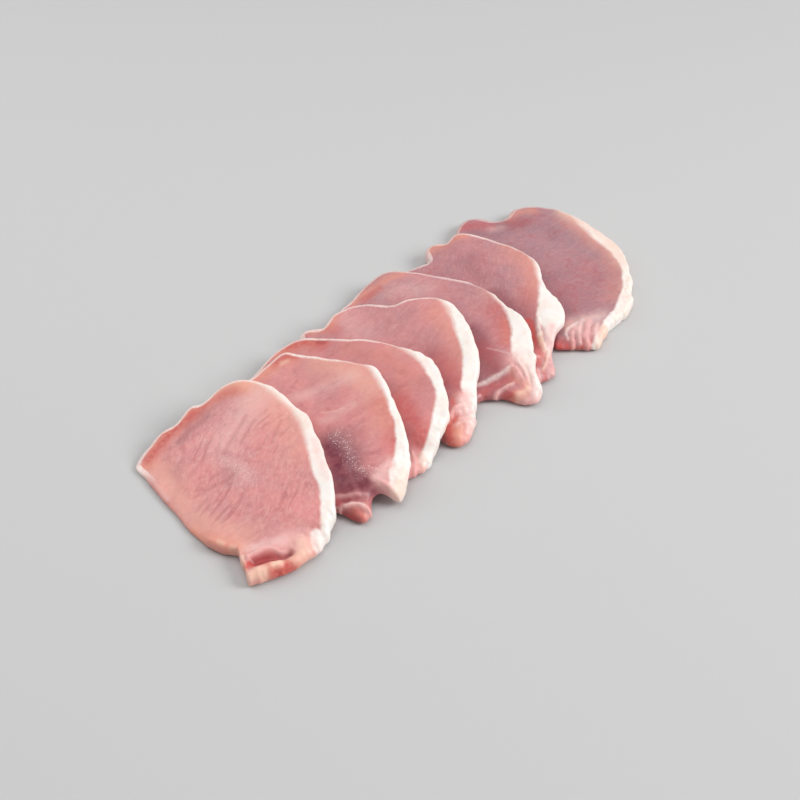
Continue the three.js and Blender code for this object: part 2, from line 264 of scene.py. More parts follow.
SLICE_4 = dict(
    at=-11,
    fibres=4,
    grooves=0.3,
    mauve=0.35,
    skin=0.85,
    edge=[
        (-22, 50), (-15, 58), (-11, 55), (-8, 50), (2, 52), (12, 49), (18, 43), (23, 31), (32, 25),
        (40.5, 16), (42, 6), (39.2, -3.5), (31.3, -17), (21.3, -29.5), (11, -37), (5, -42),
        (-5, -49), (-14, -52), (-19, -49), (-21, -40), (-30, -36), *RIB_SIDE,
    ],
    lean=[
        (38.6, 8), (36, 3), (32, -3.5), (26.4, -11), (21.1, -18), (15.8, -23.8), (11.5, -27.2),
        (6.6, -30.5), (2.3, -35.4),
    ],
    marks=[
        ("warm", 0.7, 4, [(-12, 53), (-6, 47), (0, 50)]),
        ("red", 0.4, 3, [(-7, 46), (-6, 41)]),
        ("pale", 0.2, 9, [(4, 41), (0, 28)]),
        ("warm", 0.35, 6, [(30, 8), (24, -10), (14, -23)]),
        ("deep", 0.5, 7, [(10, -8), (3, -26), (0, -33)]),
        ("red", 0.4, 7, [(12, -14), (5, -30)]),
        ("red", 0.8, 1.4, [(-4, -35), (-6, -37.5)]),
        ("fold", 0.85, 3.4, [(2, -37), (-1, -42), (-5, -46)]),
        ("film", 0.4, 2.6, [(-1, -38), (-3, -44), (-7, -49)]),
        ("warm", 0.5, 2.5, [(-3, -35.5), (0, -35)]),
        ("red", 0.9, 2.2, [(-8.6, -40.3), (-10.7, -41.2)], -0.8),
        ("warm", 1, 6, [(-11, -43), (-14, -47.4), (-17, -50)], 0.5),
        ("red", 0.9, 2.6, [(-14, -42), (-18.4, -46), (-19.6, -49.4)]),
        ("red", 0.28, 4, [(-12, -45), (-16, -49)]),
        ("thin", 1, 3.5, [(-20, -44), (-19, -50), (-13, -53), (-7, -51)], -1.4),
        ("fold", 0.8, 1.1, [
            (-10, -39.4), (-8.3, -38.7), (-6.3, -38.5), (-3.9, -38.9), (-1.6, -39.6),
        ], 0.9),
        ("fold", 0.7, 0.9, [(-7, -39.9), (-4.4, -41), (-1.4, -41.4)], 0.7),
        ("fold", 0.8, 1.0, [(-7.4, -42.6), (-4, -43.8), (-0.6, -44.6)], 0.8),
        ("fold", 0.8, 1.1, [(-11, -43.2), (-7, -44.4), (-3.9, -46), (-1, -47.4)], 0.8),
        ("fold", 0.6, 3.0, [(-6, -47.6), (-11, -50.8), (-14, -53)], 0.6),
        ("red", 0.7, 0.9, [(-8.5, -46.2), (-12, -49.4), (-15.4, -52.4)], -0.5),
        ("cream", 0.3, 2.4, [(-10.4, -45.6), (-13.4, -48.6)], 0.5),
    ],
)
SLICE_5 = dict(
    at=14,
    fibres=0,
    grooves=0.25,
    mauve=0.55,
    skin=0.75,
    edge=[
        (-18, 56), (-4, 59), (12, 60), (20, 58), (27, 49), (32, 40), (37, 25), (40, 16), (41, 0),
        (37.4, -14.5), (35.4, -25.5), (29, -35.6), (20, -45), (14, -51), (11, -57), (5, -59),
        (0, -56), (-3, -48), (-11, -40), (-20, -37), (-36, -30), *RIB_SIDE,
    ],
    lean=[
        (39, -3), (36.8, -9.5), (32.2, -17.1), (27.5, -23.2), (22.5, -27.9), (15.6, -33),
        (12.5, -37),
    ],
    marks=[
        ("warm", 0.6, 3.5, [(-6, 56), (0, 55), (10, 53), (23, 48)]),
        ("red", 0.5, 2.4, [(0, 52), (9, 50)]),
        ("pale", 0.25, 8, [(9, 46), (20, 31)]),
        ("red", 0.45, 6, [(33, -8), (26, -20), (19, -27)]),
        ("warm", 0.5, 3, [(28, -19), (20, -27)]),
        ("deep", 0.7, 8, [(13, -9), (6, -22), (3, -32)]),
        ("deep", 0.5, 6, [(0, -30), (-6, -38), (-8, -44)]),
        ("red", 0.35, 7, [(8, -24), (4, -34)]),
        ("film", 0.22, 0.6, [(9, -24), (11, -29), (12.5, -33), (13.5, -37)], 0.1),
        ("red", 0.6, 3.0, [(-10.7, -38), (-4, -40), (1.3, -42), (4, -44)], -0.5),
        ("red", 0.8, 2.6, [(-11, -46), (-6.7, -47), (-2.1, -48)], -0.4),
        ("fold", 0.8, 5, [(12, -39), (11, -45), (9, -50)]),
        ("red", 0.35, 1.6, [(5.4, -41.4), (4.4, -45.4), (3.6, -49.4)], -0.15),
        ("warm", 0.6, 2, [(6.4, -41.6), (5, -46.4)]),
        ("thin", 1, 3.0, [(14, -52), (9, -58), (2, -58), (-2, -52)], -1.2),
        ("film", 0.6, 1.2, [
            (-12, -32), (-9.1, -33.1), (-5, -35.3), (-1.4, -36.6), (1.5, -38.4), (3.8, -39.4),
            (5.9, -40),
        ], 0.4),
        ("fold", 0.9, 0.9, [
            (-13, -43.4), (-8.1, -43.1), (-3.6, -43.6), (0.1, -44.8), (2, -46.2),
        ], 0.5),
        ("fold", 0.9, 2.0, [(8.2, -40.4), (7.6, -43.4), (6.8, -46.4)], 0.9),
        ("film", 0.4, 1.1, [(10.4, -42), (9.6, -45.6), (8.6, -48.4)], 0.9),
        ("red", 0.35, 0.7, [(9.6, -41), (8.6, -44.6), (7.4, -48)], -0.4),
        ("warm", 0.9, 2.2, [(-1.7, -51), (1.4, -52.6), (4.4, -53.4), (6.4, -51.4)], 0.4),
        ("cream", 0.7, 1.4, [(-0.4, -51.6), (2.4, -53), (5.4, -53)], 0.6),
        ("film", 0.8, 2.8, [(15, -41), (14, -45), (12.4, -49), (10.4, -53.4), (7, -57)], 0.6),
        ("fold", 0.8, 2.4, [(5, -58), (1.4, -58), (-0.4, -55.6)], 0.3),
        ("cream", 0.5, 0.8, [(11.6, -45), (10.2, -49), (8, -52)], -0.3),
    ],
)
SLICE_6 = dict(
    at=56,
    fibres=28,
    grooves=0.2,
    mauve=0.65,
    skin=0.7,
    edge=[
        (-22, 51), (-12, 55), (0, 52), (4, 50), (9, 57), (15, 57), (19, 51), (26, 51), (31, 46),
        (36, 30), (39, 14), (36, 0), (28, -9), (22, -19), (18, -29), (11, -37), (0, -40), (-9, -46),
        (-17, -54), (-26, -52), (-33, -42), *RIB_SIDE,
    ],
    lean=[
        (36, 3.4), (28.6, -5.2), (21.7, -12.3), (15, -18.1), (8.5, -21.9), (3.4, -25.6), (0, -29.5),
    ],
    marks=[
        ("warm", 0.75, 4, [(12, 54), (21, 50), (27, 46)]),
        ("pale", 0.7, 1.6, [(30, 45), (33, 36)]),
        ("deep", 0.25, 5, [(17, 29), (11, 25), (8, 14)]),
        ("warm", 0.4, 7, [(36, 20), (31, 2), (14, -17)]),
        ("deep", 0.6, 6, [(3, 2), (1, -10), (-3, -21)]),
        ("red", 0.3, 5, [(12, -12), (3, -22)]),
        ("fold", 0.8, 3.6, [(0, -37.6), (-5, -40.6), (-10, -45)]),
        ("fold", 0.75, 4.5, [(-8, -43), (-13, -49), (-17, -53)]),
        ("red", 0.95, 2.4, [
            (-1.4, -24), (-5.4, -29.6), (-9, -34.6), (-11.4, -39.6), (-12.6, -43.4),
        ], -0.3),
        ("film", 0.8, 1.3, [(1.4, -28), (-2.2, -31.2), (-5.4, -34.6)], 0.6),
        ("cream", 0.9, 1.2, [(-5.4, -34.6), (-8.4, -38.4), (-10, -42)], 0.6),
        ("film", 0.45, 2.0, [(-1, -35), (-5, -39), (-8.6, -42.4)], 0.3),
        ("red", 0.85, 2.2, [(-16.6, -43), (-19.2, -45.6)], -0.5),
        ("cream", 0.6, 1.0, [(-9.6, -43.8), (-13.4, -45.6), (-17, -47.6), (-20.4, -49)], 0.8),
        ("film", 0.5, 1.0, [(-8.6, -43.8), (-11.6, -44.8)], 0.5),
        ("fold", 0.8, 1.0, [(-17.6, -37.6), (-16.6, -39.8), (-15, -41.8)], 0.5),
        ("fold", 0.7, 1.4, [(-22.6, -47.6), (-25.3, -50.2), (-27.4, -53)], 0.5),
        ("red", 0.6, 1.3, [(-20.6, -50), (-23.4, -53.4)], -0.4),
        ("thin", 1, 3.0, [(1, -41), (-9, -47), (-17, -54), (-26, -53)], -1.0),
    ],
)
SLICE_7 = dict(
    at=106,
    fibres=-12,
    grooves=0.1,
    mauve=1.0,
    skin=0.45,
    edge=[
        (-22, 51), (-13, 59), (-4, 61), (2, 58), (6, 49), (12, 45), (22, 47), (29, 44), (38, 31),
        (40, 20), (38, 0), (36, -12), (33, -20), (21, -34), (7, -46), (-3, -52), (-17, -53),
        (-29, -54), (-37, -57), (-44, -50), (-51, -42), (-44, -30), *RIB_SIDE,
    ],
    lean=[
        (35.6, 11), (32.6, 3.5), (29.7, -5.5), (26.8, -16.9), (23, -25), (15.8, -33.2),
        (7.4, -39.4), (-0.8, -43.7), (-9.3, -47.2), (-18.2, -49), (-25, -50.4),
    ],
    marks=[
        ("red", 0.5, 4.5, [(-10, 56), (-3, 53), (1, 47)]),
        ("pale", 0.55, 3, [(0, 44), (4, 41)]),
        ("warm", 0.5, 4, [(14, 43), (22, 42.5), (28, 38)]),
        ("deep", 0.35, 7, [(6, 42), (14, 36)]),
        ("red", 0.22, 5, [(12, 37), (22, 31)]),
        ("warm", 0.35, 4.5, [(32, 14), (28, -6), (21, -24)]),
        ("deep", 0.2, 5, [(21, 18), (17, 14)]),
        ("warm", 0.3, 6, [(34, 20), (30, 2), (25, -16), (12, -32), (-4, -41)]),
        ("deep", 0.3, 8, [(-20, -16), (-26, -24)]),
        ("red", 0.2, 14, [(2, -18), (-14, -28)]),
        ("deep", 0.2, 7, [(-8, 48), (-2, 40)]),
        ("pale", 0.7, 4.5, [(-33, -37), (-27, -42), (-20, -46)]),
        ("red", 0.95, 5, [(-52, -41), (-47, -47.4), (-41, -54), (-36, -57)], -0.3),
        ("thin", 1, 4, [(-50, -40), (-46, -49), (-38, -56), (-28, -55)], -1.4),
        ("fold", 0.8, 5.5, [(-36, -40.6), (-35, -45), (-31, -50)]),
        ("film", 0.45, 1.1, [
            (-32, -40), (-36, -40), (-39.4, -39.6), (-42.6, -41), (-44.4, -43.6),
        ], 0.9),
        ("fold", 0.8, 1.3, [(-35.6, -42), (-39, -43), (-42.6, -45.2), (-45, -48)], 0.8),
        ("film", 0.3, 1.6, [(-29.6, -41), (-34, -43), (-39, -46.4), (-42, -49.4)], 0.9),
        ("red", 0.15, 0.8, [(-32, -43.4), (-37, -46.4), (-41, -50)], -0.4),
        ("fold", 0.8, 1.9, [(-28, -44.4), (-33, -46.6), (-37.4, -50), (-39.6, -53)], 0.9),
        ("red", 0.25, 0.8, [(-30, -47.4), (-34.6, -50.4), (-38, -54)], -0.4),
        ("film", 0.25, 1.6, [(-26, -48.4), (-30.4, -50.4), (-34, -53.6), (-36, -56)], 0.8),
        ("cream", 0.9, 2.2, [(-26, -53), (-30, -54.6), (-36, -57.4)], 1.0),
        ("cream", 0.55, 5, [(38, 24), (38, 6), (34, -14), (24, -29)]),
        ("fold", 0.2, 5, [(38, 18), (37, 0), (32, -16), (24, -29)]),
        ("cream", 0.3, 4, [(14, -39), (4, -46.4), (-8, -51.6)]),
    ],
)
SLICES = (SLICE_1, SLICE_2, SLICE_3, SLICE_4, SLICE_5, SLICE_6, SLICE_7)


# Curves, distances and smooth noise


def smooth(t):
    """0 to 1 with level ends: 3t² − 2t³ of t held between 0 and 1."""
    t = np.clip(t, 0, 1)
    return t * t * (3 - 2 * t)


def ramp(value, start, end):
    """0 where a value is at start, 1 where it is at end, and smooth between them."""
    return smooth((value - start) / (end - start))


def blend(share, none, full):
    """From none at share 0 to full at share 1, in a straight line."""
    return none + (full - none) * share


def bell(distance, width):
    """1 on a line and less beside it: e to the power of minus the square of distance by width."""
    return np.exp(-((distance / width) ** 2))


def spline(points, closed, steps):
    """Centripetal Catmull-Rom curve: between two points it is the cubic whose slopes come from
    the neighbours, with each stretch timed by the root of its length."""
    p = np.asarray(points, float)
    if closed:
        before, after, later = np.roll(p, 1, 0), np.roll(p, -1, 0), np.roll(p, -2, 0)
    else:
        p = np.vstack([2 * p[0] - p[1], p, 2 * p[-1] - p[-2]])
        before, p, after, later = p[:-3], p[1:-2], p[2:-1], p[3:]
    spans = [(before, p), (p, after), (after, later)]
    d0, d1, d2 = (np.sqrt(np.linalg.norm(b - a, axis=1))[:, None, None] for a, b in spans)
    a, b, c, d = (q[:, None, :] for q in (before, p, after, later))
    slope_b = ((b - a) / d0 - (c - a) / (d0 + d1) + (c - b) / d1) * d1
    slope_c = ((c - b) / d1 - (d - b) / (d1 + d2) + (d - c) / d2) * d1
    t = (np.arange(steps) / steps)[None, :, None]
    curve = b + slope_b * t
    curve = curve + (3 * (c - b) - 2 * slope_b - slope_c) * t**2
    curve = curve + (2 * (b - c) + slope_b + slope_c) * t**3
    curve = curve.reshape(-1, p.shape[1])
    return np.vstack([curve, curve[:1] if closed else [points[-1]]])


def distance_to(x, y, line, limit):
    """Distance of each point from a line: the least of those to its straight stretches. It is
    worked out near the line only, and is the limit elsewhere."""
    low, high = line.min(0) - limit, line.max(0) + limit
    near = (x > low[0]) & (x < high[0]) & (y > low[1]) & (y < high[1])
    start, run = line[:-1], np.diff(line, axis=0)
    px, py = x[near][:, None] - start[:, 0], y[near][:, None] - start[:, 1]
    t = np.clip((px * run[:, 0] + py * run[:, 1]) / (run**2).sum(1), 0, 1)
    found = np.full(x.shape, float(limit))
    found[near] = np.hypot(px - t * run[:, 0], py - t * run[:, 1]).min(-1)
    return np.minimum(found, limit)


NOISE_CELLS = 64  # after which the noise repeats
NOISE_TURN = 0.7  # radians by which each seed's noise is turned past the one before


def noise(u, v, seed):
    """Smooth noise from -1 to 1: a random number at each corner of a unit lattice, blended over
    each cell by 3t² − 2t³ both ways."""
    lattice = np.random.default_rng(seed).uniform(-1, 1, (NOISE_CELLS, NOISE_CELLS))
    i, j = np.floor(u).astype(int), np.floor(v).astype(int)
    s, t = smooth(u - i), smooth(v - j)
    i, j = i % NOISE_CELLS, j % NOISE_CELLS
    i_next, j_next = (i + 1) % NOISE_CELLS, (j + 1) % NOISE_CELLS
    near = lattice[i, j] * (1 - s) + lattice[i_next, j] * s
    far = lattice[i, j_next] * (1 - s) + lattice[i_next, j_next] * s
    return near * (1 - t) + far * t


def waves(x, y, seed, *sizes):
    """Soft unevenness: the sum of noises given as (height, size in mm, seed), whose seeds count
    from the slice's own."""
    total = 0
    for height, size, own_seed in sizes:
        turn = (seed + own_seed) * NOISE_TURN
        u = (x * np.cos(turn) + y * np.sin(turn)) / size
        v = (y * np.cos(turn) - x * np.sin(turn)) / size
        total = total + height * noise(u, v, seed + own_seed)
    return total


def reading(field, start, cell, x, y):
    """A field's value between its grid points, by cubic B-splines both ways. start is where its
    first point lies and cell the distance from one to the next."""
    u, v = (x - start[0]) / cell, (y - start[1]) / cell
    i, j = np.floor(u).astype(int), np.floor(v).astype(int)

    def weights(t):
        nearest = (3 * t**3 - 6 * t**2 + 4) / 6
        next_one = (-3 * t**3 + 3 * t**2 + 3 * t + 1) / 6
        return (1 - t) ** 3 / 6, nearest, next_one, t**3 / 6

    total = 0
    for m, across in enumerate(weights(u - i)):
        for n, along in enumerate(weights(v - j)):
            rows = np.clip(i + m - 1, 0, field.shape[0] - 1)
            columns = np.clip(j + n - 1, 0, field.shape[1] - 1)
            total = total + across * along * field[rows, columns]
    return total


# Outlines: distance from a slice's middle at any bearing, and distance from its edges

MAP_START = (-76.0, -84.0)
MAP_END = (76.0, 88.0)
MAP_CELL = 1.0
MAP_X, MAP_Y = np.meshgrid(
    *(np.arange(a, b, MAP_CELL) for a, b in zip(MAP_START, MAP_END)), indexing="ij"
)
FAR = 60.0  # no distance on that map is more
FADE = np.radians(9)  # how far the broad fat takes to run out at each end
BEARINGS = np.linspace(-np.pi, np.pi, 1440, endpoint=False)  # four to a degree
CORNER_SMOOTHINGS = 12  # by 1-2-1 averages, where an outline turns back on itself


def polar(points):
    """Bearing and distance of points from a slice's middle."""
    d = np.asarray(points, float) - MIDDLE
    return np.arctan2(d[..., 1], d[..., 0]), np.hypot(d[..., 0], d[..., 1])


class Slice:
    """One slice: its outline, its fat side and what it lies on."""

    def __init__(self, number, facts):
        self.name = f"slice_{number}"
        self.seed = number
        self.facts = facts
        self.at = facts["at"]
        edge = spline(facts["edge"], True, CURVE_STEPS)
        bearings, reaches = polar(edge)
        order = np.argsort(bearings)
        self.reaches = np.interp(BEARINGS, bearings[order], reaches[order], period=2 * np.pi)
        for _ in range(CORNER_SMOOTHINGS):
            sides = np.roll(self.reaches, 1) + np.roll(self.reaches, -1)
            self.reaches = self.reaches / 2 + sides / 4
        bearing, distance = polar(np.stack([MAP_X, MAP_Y], -1))
        inside = distance < self.reach(bearing)
        self.depth_map = np.where(inside, 1, -1) * distance_to(MAP_X, MAP_Y, edge, FAR)
        self.fat_map = self.broad_fat(facts["lean"], bearing, distance)
        self.under = None
        self.cover = None

    def reach(self, bearing):
        """Distance from the middle to the edge."""
        return np.interp(bearing, BEARINGS, self.reaches, period=2 * np.pi)

    def broad_fat(self, lean, bearing, distance):
        """Distance from the line between lean and fat, positive in the fat. The line runs on to
        the outline a little past its first and last points."""
        bearings, reaches = polar(lean)
        ends = np.array([bearings.max() + FADE, bearings.min() - FADE])
        tips = np.stack([np.cos(ends), np.sin(ends)], -1) * self.reach(ends)[:, None] + MIDDLE
        line = spline([tips[0], *lean, tips[1]], False, MARK_STEPS)
        bearings, reaches = polar(line)
        order = np.argsort(bearings)
        start = np.interp(bearing, bearings[order], reaches[order], left=2 * FAR, right=2 * FAR)
        return np.where(distance > start, 1, -1) * distance_to(MAP_X, MAP_Y, line, FAR)

    def depth(self, x, y):
        """How far inside the outline a point lies, in mm, negative outside."""
        return reading(self.depth_map, MAP_START, MAP_CELL, x, y)

    def fat(self, x, y):
        """How far inside the broad fat side a point lies, in mm, negative outside."""
        return reading(self.fat_map, MAP_START, MAP_CELL, x, y)


# Laying the slices on each other

FIELD_START = (-HALF_LENGTH, -HALF_WIDTH)
X, Y = np.meshgrid(
    np.arange(-HALF_LENGTH, HALF_LENGTH + CELL, CELL),
    np.arange(-HALF_WIDTH, HALF_WIDTH + CELL, CELL),
    indexing="ij",
)


def shifted(field, i, j):
    """The field moved by i and j cells, with its border repeated."""
    rows = np.clip(np.arange(field.shape[0]) - i, 0, field.shape[0] - 1)
    columns = np.clip(np.arange(field.shape[1]) - j, 0, field.shape[1] - 1)
    return field[rows][:, columns]


def settle(support):
    """The underside of a limp slice on its support: level a little past each edge that holds
    it, then the lowest field over it that falls no steeper than its meat lets it, rounded off
    by 1-2-1 averages both ways."""
    cells = range(-SPREAD, SPREAD + 1)
    steps = [(i, j) for i in cells for j in cells]
    disc = [(i, j) for i, j in steps if i * i + j * j <= SPREAD * SPREAD]
    ways = [(i, j) for i, j in steps if i % 2 or j % 2]  # those that aren't twice another one
    fall = blend(ramp(Y, *TAIL), LEAN_FALL, TAIL_FALL)
    under = np.max([shifted(support, i, j) for i, j in disc], axis=0)
    moved = True
    while moved:
        runs = [shifted(under, i, j) - fall * CELL * np.hypot(i, j) for i, j in ways]
        lower = under
        under = np.max([lower, *runs], axis=0)
        moved = bool((under > lower).any())
    for _ in range(SMOOTHINGS):
        under = under / 2 + (shifted(under, 1, 0) + shifted(under, -1, 0)) / 4
        under = under / 2 + (shifted(under, 0, 1) + shifted(under, 0, -1)) / 4
    return np.maximum(under, support)


def lay_row(thickness, gap):
    """All slices with their undersides, laid from the last one, which is flat, to the first."""
    slices = [Slice(number, facts) for number, facts in enumerate(SLICES, 1)]
    for cover, piece in zip(slices, slices[1:]):
        piece.cover = cover
    pile = np.zeros_like(X)
    for piece in reversed(slices):
        bearing, distance = polar(np.stack([X - piece.at, Y], -1))
        depth = piece.reach(bearing) - distance
        piece.under = settle(np.where((pile > 0) & (depth > -MARGIN), pile + gap, 0))
        left = 1 - np.clip(depth / RIM, 0, 1)
        top = piece.under + thickness / 2 * (1 + np.sqrt(1 - left**2))
        pile = np.where(depth > 0, np.maximum(pile, top), pile)
    return slices


# The surface of a slice

# Each rule is a number, a ramp as (where it is 0, where it is 1), a pair of values for the two
# ends of a ramp, or a wave as (height, size in mm, seed).
HIGH = (-30.0, 10.0)  # Y from the tail up to the eye muscle
LIMP = (-34.0, -42.0)  # Y over which the tail turns limp and uneven
BLADE = (0.0, 25.0)  # Y over which the blade side begins

FIBRE_LENGTH = 9.0  # over which a bundle of cut fibres looks alike
FIBRE_PITCH = 1.0  # from one bundle to the next
FIBRE_BEND = (0.2, 40, 40)  # in radians
FIBRE_SWAY = (0.5, 7, 45)
STRANDS = (0.3, 1.0)  # how plain the bundles are in a slice with no grooves and with all

GROOVE_LENGTH = 11.0  # the same for the grooves where they part
GROOVE_PITCH = 1.5
GROOVE_SEED = 60
GROOVE_PEAKS = (0.25, 0.75)  # of the noise that opens them
GROOVE_PATCHES = (1.1, 13, 80)
GROOVE_LEVEL = 0.4  # that the patches go up and down from
GROOVE_FROM_FAT = (0.0, 6.0)  # mm from the fat over which they begin
GROOVE_FROM_EDGE = (0.0, 16.0)  # the same from the slice's edge
GROOVE_SINK = 0.2

# Four pairs of values low and high on a slice, at the two ends of HIGH
RAGGED_SHARE = (1.0, 0.6)  # of the unevenness of the fat's edge
SOFT = (1.0, 2.6)  # mm over which the fat runs out into the lean
WARM = (0.15, 0.75)  # how warm the lean is beside the fat
SHADE = (0.75, 0.25)  # how dark it is beside the slice that covers it

RAGGED = [(0.6, 5, 0), (0.2, 1.8, 10)]  # mm by which the fat's edge is uneven
WARM_REACH = 4.0  # how far into the lean the fat makes it warmer
WARM_LOSS = 0.4  # in the greyest lean

SKIN_AND_HIGHLIGHT = (1.0, 2.6)  # width of the thin pale line along the edge, partly skin and partly painted highlight, and on the blade side
SKIN_AND_HIGHLIGHT_BLUR = 0.25
SKIN_AND_HIGHLIGHT_UP = (0.4, 0.7)  # height on the rim at which it begins, where 1 is the top face
SKIN_AND_HIGHLIGHT_LOW = (-42.0, -30.0)  # Y over which it begins, past the tail
RIB_X = (-23.0, -28.0)  # the rib side has none,
RIB_Y = (48.0, 36.0)  # which begins below its top corner
SKIN_AND_HIGHLIGHT_LEVEL = 0.9
SKIN_AND_HIGHLIGHT_PATCHES = (0.15, 6, 15)

WALL = (0.2, -0.3)  # height on the rim at which the cut side begins
WALL_LOSS = 0.9  # where the tail is limp

SHADE_REACH = 9.0  # how far past the slice that covers it the lean is still dark
SHADE_LOW = (-46.0, -32.0)  # Y over which that begins, past the tail
SHADE_LEVEL = 0.8
SHADE_PATCHES = (0.2, 8, 0)

FACE_WAVES = [(0.3, 17, 20), (0.12, 6, 30)]
LIMP_WAVES = [(0.5, 4, 35), (0.3, 1.8, 36)]
FAT_WAVES = [(0.14, 5, 90), (0.08, 2, 0)]
FAT_RISE = 0.12  # mm that fat stands out over lean, between these waves
FAT_SHOULDER = (-0.6, 0.9)  # mm inside the fat's edge over which it comes up

MARK_REACH = 3  # half widths from its path at which a mark ends
MARK_WAVES = (0.22, 1.2, 70)  # share of the distance, size in half widths past 1 mm, seed
RIDGE_FOOT = 1.3  # half widths from its path at which a ridge ends
NARROW = 2.5  # half width up to which a mark's edge is sharper

LABELS = ("film", "red", "deep", "warm", "pale", "wet", "peach", "groove", "fold", "cream")


def fibre_places(piece, x, y):
    """Where each point is along and across the cut fibres, which bend a little."""
    turn = np.radians(piece.facts["fibres"]) + waves(x, y, piece.seed, FIBRE_BEND)
    along = x * np.cos(turn) + y * np.sin(turn)
    across = y * np.cos(turn) - x * np.sin(turn)
    return along, across + waves(x, y, piece.seed, FIBRE_SWAY)


def openings(piece, x, y, along, across):
    """Where the fibres part, 0 to 1: the peaks of noise that is drawn out along the fibres, in
    patches."""
    value = noise(along / GROOVE_LENGTH, across / GROOVE_PITCH, GROOVE_SEED + piece.seed)
    patches = smooth(GROOVE_LEVEL + waves(x, y, piece.seed, GROOVE_PATCHES))
    return ramp(value, *GROOVE_PEAKS) * patches * piece.facts["grooves"]


def skin_and_rim_highlight(piece, x, y, up, depth):
    """How plain the thin pale line along the edge is, 0 to 1, partly real thin skin and partly a
    painted highlight along the top of the rim: wider on the blade side, where it covers the rim
    too, and missing on the tip of the tail and on the rib side."""
    blade = ramp(y, *BLADE)
    width = blend(blade, *SKIN_AND_HIGHLIGHT)
    skin = ramp(depth, width + SKIN_AND_HIGHLIGHT_BLUR, width - SKIN_AND_HIGHLIGHT_BLUR)
    skin = skin * np.maximum(blade, ramp(up, *SKIN_AND_HIGHLIGHT_UP)) * ramp(y, *SKIN_AND_HIGHLIGHT_LOW)
    skin = skin * (1 - ramp(x, *RIB_X) * ramp(y, *RIB_Y))
    return skin * piece.facts["skin"] * (SKIN_AND_HIGHLIGHT_LEVEL + waves(x, y, piece.seed, SKIN_AND_HIGHLIGHT_PATCHES))


def cover_shade(piece, x, y, high):
    """How dark the lean is beside the slice that covers it, 0 to 1, partly its own darker colour
    for want of air and partly painted shade along that slice's edge: a bell curve of the distance
    from the slice that covers it, weaker high on the slice and missing on the tip of the tail."""
    past = np.clip(-piece.cover.depth(x + piece.at - piece.cover.at, y), 0, None)
    shade = bell(past, SHADE_REACH) * blend(high, *SHADE) * ramp(y, *SHADE_LOW)
    return shade * (SHADE_LEVEL + waves(x, y, piece.seed, SHADE_PATCHES))


def draw_marks(piece, x, y, found):
    """Draws a slice's marks into the fields found so far, and returns how far they lift its face
    and how much thinner they make it. A mark fades on both sides of its path by a bell curve, or
    where it is narrow by e to the power of minus the cube of the distance. A ridge's height is
    the square of 1 less the square of the distance. The highest ridge counts, and hollows add
    up."""
    ridge, hollow, thin = np.zeros_like(x), np.zeros_like(x), np.zeros_like(x)
    share, coarseness, seed = MARK_WAVES
    for kind, strength, width, path, *lifts in piece.facts["marks"]:
        lift = lifts[0] if lifts else 0
        away = distance_to(x, y, spline(path, False, MARK_STEPS), MARK_REACH * width)
        uneven = waves(x, y, piece.seed, (share, coarseness * width + 1, seed))
        away = np.maximum(away * (1 + uneven), 0)
        if kind == "thin":
            thin = np.minimum(thin, lift * bell(away, width))
            continue
        if lift > 0:
            foot = np.clip(1 - (away / (RIDGE_FOOT * width)) ** 2, 0, 1)
            ridge = np.maximum(ridge, lift * foot**2)
        if lift < 0:
            hollow = hollow + lift * bell(away, width)
        if kind == "fat":
            value = width - away
        elif width > NARROW:
            value = strength * bell(away, width)
        else:
            value = strength * np.exp(-((away / width) ** 3))
        found[kind] = np.maximum(found[kind], value)
    return ridge + hollow, thin


def fields(piece, x, y, up):
    """What the meat is at each point of a slice, with the painted highlights and painted shade laid
    over it, how far its top face stands out there and how much thinner it is. fat is a distance in
    mm inside the fat's edge and soft the width over which that edge runs out. The others are 0 to
    1."""
    facts, seed = piece.facts, piece.seed
    high, limp = ramp(y, *HIGH), ramp(y, *LIMP)
    depth, fat = piece.depth(x, y), piece.fat(x, y)
    inset = np.maximum(-fat, 0)
    warm = np.exp(-inset / WARM_REACH) * blend(high, *WARM)
    found = {label: np.zeros_like(x) for label in LABELS}
    found.update({
        "fat": fat + waves(x, y, seed, *RAGGED) * blend(high, *RAGGED_SHARE),
        "soft": blend(high, *SOFT),
        "film": skin_and_rim_highlight(piece, x, y, up, depth),
        "peach": warm * (1 - WARM_LOSS * facts["mauve"]),
        "wall": ramp(up, *WALL) * (1 - WALL_LOSS * limp),
        "mauve": np.full_like(x, facts["mauve"]),
        "strand": np.full_like(x, blend(facts["grooves"], *STRANDS)),
    })
    marked, thin = draw_marks(piece, x, y, found)
    if piece.cover is not None:
        found["deep"] = np.maximum(found["deep"], cover_shade(piece, x, y, high))
    along, across = fibre_places(piece, x, y)
    groove = openings(piece, x, y, along, across)
    groove = groove * ramp(inset, *GROOVE_FROM_FAT) * ramp(depth, *GROOVE_FROM_EDGE)
    found["groove"] = np.maximum(found["groove"], groove)
    lift = waves(x, y, seed, *FACE_WAVES) + limp * waves(x, y, seed, *LIMP_WAVES)
    lift = lift + marked - GROOVE_SINK * groove
    bulge = ramp(found["fat"], *FAT_SHOULDER) * (FAT_RISE + waves(x, y, seed, *FAT_WAVES))
    return found, (along, across), lift + bulge, thin


# A slice's mesh


def ring_grid(rings):
    """Square rings round a middle point: each point's share of the way out, 0 to 1, and its
    bearing, which runs evenly round each ring from its lower right corner."""
    steps = np.arange(-rings, rings + 1)
    i, j = np.meshgrid(steps, steps, indexing="ij")
    ring = np.maximum(abs(i), abs(j))
    size = np.maximum(ring, 1)
    right = (i == ring) & (j < ring)
    top = (j == ring) & (i > -ring)
    left = (i == -ring) & (j > -ring)
    eighths = [1 + j / size, 3 - i / size, 5 - j / size]
    eighths = np.select([right, top, left], eighths, 7 + i / size)
    return ring / rings, (eighths - 1) * np.pi / 4


